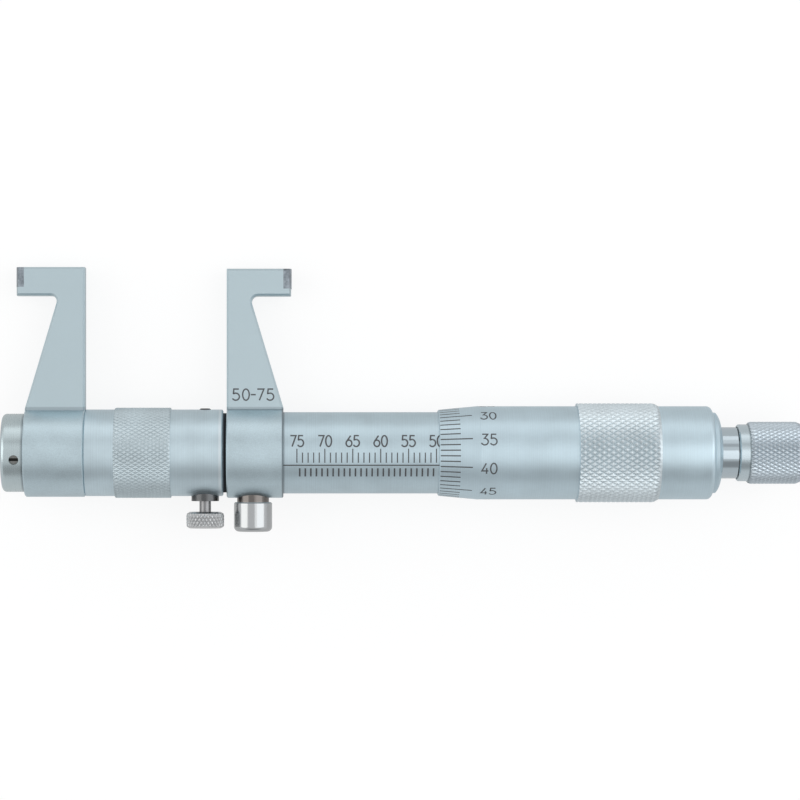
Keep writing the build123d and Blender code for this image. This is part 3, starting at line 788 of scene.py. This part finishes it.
def maths(tree, operation, *values):
    """The result of a math node on sockets or numbers."""
    inputs = {f"i{k}": value for k, value in enumerate(values)}
    return node(tree, "ShaderNodeMath", operation=operation, **inputs).outputs[0]


def facing(tree, way, direction):
    """How far a vector socket points in a direction."""
    dot = node(tree, "ShaderNodeVectorMath", operation="DOT_PRODUCT", i0=way, i1=direction)
    return dot.outputs["Value"]


def spread_out(tree, value, low, high, **more):
    """A value carried from a range to 0 and 1, or to To_Min and To_Max."""
    return node(
        tree, "ShaderNodeMapRange", Value=value, From_Min=low, From_Max=high, **more
    ).outputs["Result"]


def between(tree, share, first, second):
    """A number that goes from the first to the second with a share."""
    return node(tree, "ShaderNodeMix", Factor=share, A=first, B=second).outputs["Result"]


def tint(tree, share, under, over):
    """Mixes a plain colour over a colour socket by a share socket."""
    mixed = node(tree, "ShaderNodeMix", data_type="RGBA", Factor=share)
    tree.links.new(under, mixed.inputs[6])
    mixed.inputs[7].default_value = (*over, 1)
    return mixed.outputs[2]


def band(tree, place, way, start, end):
    """Goes from nought to one between two millimetre distances from the axis origin in a direction."""
    shift = ORIGIN.dot(way)
    return spread_out(tree, facing(tree, place, way), shift + start * MM, shift + end * MM)


def metal(
    name, colour, roughness, spread=0.12, grain=9.0, turned=0.0, bump=0.0, mottle=0.06,
    groove_shade=0.0, wear=0.0, lift=(1, 1, 1), painted_light_and_tone_bands=(),
):
    """Metal with a little drift, grain or turned lines, painted shade in knurl grooves, a painted light tint
    on knurls that are also duller, and bands of painted shade, painted highlight and tone.
    """
    material, tree, principled = shader(name)
    place = node(tree, "ShaderNodeTexCoord").outputs["Object"]
    fine = node(tree, "ShaderNodeTexNoise", Vector=place, Scale=grain * 1000, Detail=2.0, Roughness=0.6)
    cloud = node(tree, "ShaderNodeTexNoise", Vector=place, Scale=CLOUD_SCALE, Detail=3.0, Roughness=0.55)
    surface = fine.outputs["Fac"]
    if turned:
        along = node(tree, "ShaderNodeSeparateXYZ", Vector=place).outputs["X"]
        scale = turned * 1000
        lines = node(tree, "ShaderNodeTexNoise", noise_dimensions="1D", W=along, Scale=scale, Detail=2.0)
        surface = between(tree, LINES_SHARE, surface, lines.outputs["Fac"])
    tone = between(tree, SURFACE_SHARE, cloud.outputs["Fac"], surface)
    dark = [channel * (1 - mottle) for channel in colour]
    light = [min(1, channel * (1 + mottle)) for channel in colour]
    mixed = node(tree, "ShaderNodeMix", data_type="RGBA", Factor=spread_out(tree, tone, *TONE_RANGE))
    mixed.inputs[6].default_value = (*dark, 1)
    mixed.inputs[7].default_value = (*light, 1)
    shade = mixed.outputs[2]
    knurled = node(tree, "ShaderNodeAttribute", attribute_name=KNURLED).outputs["Fac"]
    if groove_shade:
        # Painted light: knurled points are multiplied by lift, which makes the thimble's knurl paler and
        # tints the tube's and the knob's knurls.
        knurl_lit = node(tree, "ShaderNodeMix", data_type="RGBA", blend_type="MULTIPLY", Factor=knurled)
        tree.links.new(shade, knurl_lit.inputs[6])
        knurl_lit.inputs[7].default_value = (*lift, 1)
        shade = knurl_lit.outputs[2]
        # Painted shade: the knurl grooves darken towards the groove shade tone.
        deep = node(tree, "ShaderNodeAttribute", attribute_name=GROOVE).outputs["Fac"]
        groove_shade_colour = [channel * GROOVE_SHADE_TONE for channel in colour]
        shade = tint(tree, maths(tree, "MULTIPLY", deep, groove_shade), shade, groove_shade_colour)
    # Bands of painted shade, painted highlight and tone laid over the colour.
    for bands, band_colour in painted_light_and_tone_bands:
        share = band(tree, place, *bands[0])
        for further in bands[1:]:
            share = maths(tree, "MULTIPLY", share, band(tree, place, *further))
        shade = tint(tree, share, shade, band_colour)
    tree.links.new(shade, principled.inputs["Base Color"])
    smooth, dull = roughness * (1 - spread), roughness * (1 + spread)
    gloss = spread_out(tree, tone, *TONE_RANGE, To_Min=smooth, To_Max=dull)
    tree.links.new(maths(tree, "MULTIPLY_ADD", knurled, wear, gloss), principled.inputs["Roughness"])
    if bump:
        relief = node(tree, "ShaderNodeBump", Strength=bump, Distance=RELIEF_DEPTH, Height=surface)
        tree.links.new(relief.outputs["Normal"], principled.inputs["Normal"])
    principled.inputs["Metallic"].default_value = 1.0
    return material


def dress(material, *names):
    """Gives CAD parts a material in place of their plain one."""
    for name in names:
        mesh = frame["nodes"][name].data
        mesh.materials.clear()
        mesh.materials.append(material)


def plane(name, width, material):
    """A level floor just under the instrument."""
    bm = bmesh.new()
    bmesh.ops.create_grid(bm, x_segments=2, y_segments=2, size=width / 2)
    mesh = bpy.data.meshes.new(name)
    bm.to_mesh(mesh)
    bm.free()
    floor = bpy.data.objects.new(name, mesh)
    floor.location.z = cad_box[0][2] - FLOOR_GAP
    mesh.materials.append(material)
    bpy.context.scene.collection.objects.link(floor)


def floor_material():
    """Near-white paper that takes a faint shadow, and looks dimmer in a reflection than to the camera."""
    material, tree, principled = shader("paper")
    tree.nodes.remove(principled)
    sheet = node(tree, "ShaderNodeBsdfDiffuse")
    sheet.inputs["Color"].default_value = (*FLOOR_COLOUR, 1)
    rays = node(tree, "ShaderNodeLightPath").outputs
    mirrored = maths(tree, "MAXIMUM", rays["Is Glossy Ray"], rays["Is Transmission Ray"])
    mirrored = maths(tree, "MULTIPLY", mirrored, FLOOR_MIRROR_SHARE)
    seen = maths(tree, "MAXIMUM", rays["Is Camera Ray"], mirrored)
    light = node(tree, "ShaderNodeEmission", Strength=maths(tree, "MULTIPLY", seen, FLOOR_GLOW))
    total = node(tree, "ShaderNodeAddShader", i0=sheet.outputs[0], i1=light.outputs[0])
    out = next(item for item in tree.nodes if item.type == "OUTPUT_MATERIAL")
    tree.links.new(total.outputs[0], out.inputs["Surface"])
    return material


def softbox(name, towards, size, power, colour=(1, 1, 1)):
    """A soft lamp that faces the instrument from a direction in its own frame."""
    lamp = bpy.data.lights.new(name, "AREA")
    lamp.shape = "RECTANGLE"
    lamp.size, lamp.size_y = size
    lamp.energy = power * size[0] * size[1] * pi
    lamp.color = colour
    holder = bpy.data.objects.new(name, lamp)
    way = (TURN @ Vector(towards)).normalized()
    holder.location = ORIGIN + way * LAMP_DISTANCE
    holder.rotation_euler = way.to_track_quat("Z", "Y").to_euler()
    bpy.context.scene.collection.objects.link(holder)


def sky():
    """A plain studio surround, paler low down and behind, with two darker strips along the instrument."""
    world = bpy.data.worlds.new("studio")
    world.use_nodes = True
    bpy.context.scene.world = world
    tree = world.node_tree
    background = tree.nodes["Background"]
    way = node(tree, "ShaderNodeTexCoord").outputs["Generated"]
    height = node(tree, "ShaderNodeSeparateXYZ", Vector=way).outputs["Z"]
    strength = spread_out(tree, height, 0.0, 1.0, To_Min=SKY_LOW, To_Max=SKY_HIGH)
    lean = facing(tree, way, TURN @ Vector((0, 1, 0)))
    strength = maths(tree, "MULTIPLY_ADD", lean, SKY_LEAN, strength)
    aside = maths(tree, "ABSOLUTE", facing(tree, way, ALONG))
    across = maths(tree, "SQRT", maths(tree, "SUBTRACT", 1.0001, maths(tree, "MULTIPLY", aside, aside)))
    smooth = {"interpolation_type": "SMOOTHSTEP"}
    within = spread_out(tree, aside, *SKY_STRIP_REACH, **smooth)
    for towards, (low, high), shade in SKY_STRIPS:
        towards = (TURN @ Vector(towards)).normalized()
        near = maths(tree, "DIVIDE", facing(tree, way, towards), across)
        share = maths(tree, "MULTIPLY", spread_out(tree, near, low, high, **smooth), within)
        strength = between(tree, share, strength, shade)
    tree.links.new(strength, background.inputs["Strength"])
    background.inputs["Color"].default_value = (*SKY_COLOUR, 1)


def camera():
    """The photograph's view, square to the instrument's face."""
    lens = bpy.data.cameras.new("camera")
    lens.sensor_width = SENSOR
    lens.lens = PIXELS_PER_MM * DISTANCE * SENSOR / IMAGE
    lens.shift_x = (IMAGE / 2 - LOOK_PIXEL[0]) / IMAGE
    lens.shift_y = (LOOK_PIXEL[1] - IMAGE / 2) / IMAGE
    lens.clip_start = 0.01
    lens.clip_end = 50
    eye = bpy.data.objects.new("camera", lens)
    place = TO_WORLD @ Vector((LOOK_X, 0, DISTANCE))
    eye.matrix_world = Matrix.Translation(place) @ TURN
    bpy.context.scene.collection.objects.link(eye)
    bpy.context.scene.camera = eye


# Finishes
# Painted shade along the fixed ring's right edge, below the plate.
ring_edge = (ALONG, RING_RIGHT - 0.36, RING_RIGHT - 0.16)
ring_side = (REACH, PLATE_START, PLATE_START - 0.2)
# The plate, toned darker than its ring as painted shade.
plate_side = (REACH, PLATE_START - 0.2, PLATE_START)
# Painted shade in the band where the plate meets the ring.
plate_foot = [(REACH, PLATE_START - 0.6, PLATE_START - 0.45), (REACH, PLATE_START + 0.2, PLATE_START - 0.05)]
jaw_metal = metal(
    "jaw_satin_chrome", (0.543, 0.654, 0.703), 0.41, grain=5.0, bump=0.4, mottle=0.13,
    painted_light_and_tone_bands=[([plate_side], PLATE_PAINTED_SHADE), (plate_foot, PLATE_JOIN_SHADE), ([ring_edge, ring_side], EDGE_SHADE)],
)
carbide = metal("carbide", (0.315, 0.355, 0.392), 0.45, grain=1.2, mottle=0.55)
# Dark grey ground steel for the guide rod and inner parts; its darkness is partly painted shade for the gap
# between the extension tube and the fixed ring.
ground = metal("ground_steel", (0.30, 0.31, 0.32), 0.25, turned=10.0)
# The sleeve carries painted shade next to the fixed ring.
scale_metal = metal(
    "scale_satin_chrome", (0.55, 0.665, 0.72), 0.42, turned=7.0, bump=0.3, mottle=0.13,
    painted_light_and_tone_bands=[([(ALONG, RING_RIGHT + 0.3, RING_RIGHT + 0.1)], SEAT_SHADE)],
)
# The thimble's knurl is made paler by lift, a painted light, and has painted shade in its grooves.
thimble_metal = metal(
    "thimble_satin_chrome", (0.572, 0.692, 0.752), 0.42, turned=7.0, bump=0.3, mottle=0.11,
    groove_shade=0.22, wear=0.04, lift=(1.23, 1.12, 1.075),
)
thimble_cap_metal = metal("thimble_cap_satin", (0.555, 0.675, 0.735), 0.52, grain=12.0, bump=0.15)
tube_end = station("extension_tube", 1)
# Painted highlight on a band at the extension tube's end.
rim_highlight_bands = [(ALONG, tube_end - 0.8, tube_end - 0.65), (ALONG, tube_end - 0.2, tube_end - 0.3)]
tube_metal = metal(
    "tube_satin_chrome", (0.58, 0.69, 0.742), 0.42, turned=7.0, bump=0.3, mottle=0.15,
    groove_shade=0.15, wear=0.1, lift=(1.0, 0.96, 0.94),
    painted_light_and_tone_bands=[(rim_highlight_bands, RIM_HIGHLIGHT)],
)
ring_left = station("moving_jaw", 1) - RING_LENGTH
# Painted shade on the end cap beside the moving jaw's ring.
cap_edge = (ALONG, ring_left - 0.55, ring_left - 0.1)
cap_metal = metal(
    "cap_steel", (0.55, 0.635, 0.655), 0.28, turned=6.0, bump=0.4, mottle=0.1,
    painted_light_and_tone_bands=[([cap_edge], EDGE_SHADE)],
)
neck_metal = metal("neck_chrome", (0.52, 0.595, 0.64), 0.12, grain=20.0, mottle=0.02)
# The neck's brownish tone, with painted shade under the fixed ring.
lock_metal = metal(
    "lock_chrome", (0.49, 0.505, 0.51), 0.17, grain=20.0, mottle=0.02,
    painted_light_and_tone_bands=[([(REACH, -LOCK_NECK_END, 0.05 - LOCK_NECK_END)], NECK_TONE_AND_SHADE)],
)
# Knurled head with painted shade in its grooves; its shank is coloured darker than its head.
knurled_metal = metal(
    "knurled_steel", (0.66, 0.668, 0.672), 0.28, mottle=0.1, groove_shade=0.35, wear=0.1,
    painted_light_and_tone_bands=[([(REACH, -THUMB_SHANK_END, 0.05 - THUMB_SHANK_END)], SHANK_DARKER)],
)
dark_metal = metal("dark_steel", (0.115, 0.117, 0.12), 0.24, mottle=0.2)
# Painted shade at the collar's step to the knurl.
collar_end = station("ratchet_knob", 0) + COLLAR_LENGTH
collar_foot = [(ALONG, collar_end - 0.25, collar_end - 0.1), (ALONG, collar_end + 0.2, collar_end + 0.05)]
knob_metal = metal(
    "knob_satin_chrome", (0.57, 0.66, 0.70), 0.26, turned=12.0, bump=0.1,
    groove_shade=0.2, wear=0.1, lift=(1.01, 0.98, 1.0), painted_light_and_tone_bands=[(collar_foot, COLLAR_SHADE)],
)
spring_metal = metal("spring_steel", (0.45, 0.45, 0.46), 0.3)
# Painted shade in the set screw's slot.
slot_middle = SLOT_OVER_RIM - reach_of("cap_set_screw", 1)
slot_low, slot_high = slot_middle - SLOT_HALF, slot_middle + SLOT_HALF
slot_shade_bands = [(REACH, slot_low - 0.05, slot_low), (REACH, slot_high + 0.05, slot_high)]
screw_metal = metal(
    "screw_steel", (0.25, 0.255, 0.245), 0.35, mottle=0.4,
    painted_light_and_tone_bands=[(slot_shade_bands, SLOT_SHADE)],
)
brass = metal("brass", (0.72, 0.50, 0.22), 0.32, mottle=0.1)
rubber = metal(
    "black_rubber", (0.012, 0.013, 0.016), 0.75, mottle=0.2,
    painted_light_and_tone_bands=[([(ALONG, tube_end + 0.3, tube_end + 0.15)], LIP_GREY)],
)
rubber_inputs = rubber.node_tree.nodes["Principled BSDF"].inputs
rubber_inputs["Metallic"].default_value = 0.0
rubber_inputs["Specular IOR Level"].default_value = 0.15
ink = metal("graduation_black", (0.13, 0.135, 0.142), 0.6, mottle=0.1)

# The parts that keep their CAD shape
dress(jaw_metal, "fixed_jaw", "moving_jaw")
dress(carbide, "fixed_contact_tip", "moving_contact_tip")
dress(ground, "inner_sleeve", "adjusting_nut", "guide_rod", "spindle_retainer")
dress(ground, "thrust_ball", "spindle", "ratchet_clutch")
dress(scale_metal, "scale_sleeve")
dress(thimble_cap_metal, "thimble_cap")
dress(cap_metal, "end_cap")
dress(neck_metal, "ratchet_stem")
dress(lock_metal, "lock_knob")
dress(dark_metal, "thumb_screw_bush", "locating_pin", "guide_key_screw", "ratchet_screw")
dress(screw_metal, "cap_set_screw")
dress(brass, "lock_pad", "clamp_pad")
dress(rubber, "wiper_ring")

# The parts that the scene makes itself
make_thimble(thimble_metal)
make_tube(tube_metal)
make_knob(knob_metal)
make_thumb_screw(knurled_metal)
make_spring(spring_metal)
make_sleeve_marks(ink)
make_thimble_marks(ink)
make_jaw_marks(ink)

# The studio
plane("floor", FLOOR_WIDTH, floor_material())
sky()
softbox("left_softbox", (-1, 0.1, 0.75), (0.7, 0.7), LAMP_SIDE, WARM)
softbox("right_softbox", (1, 0.1, 0.95), (0.6, 0.7), LAMP_SIDE, COOL)
softbox("back_softbox", (0.1, 1, 0.28), (0.9, 0.45), LAMP_BACK)
softbox("top_softbox", (0.36, -0.15, 1), (0.6, 0.26), LAMP_TOP)
camera()
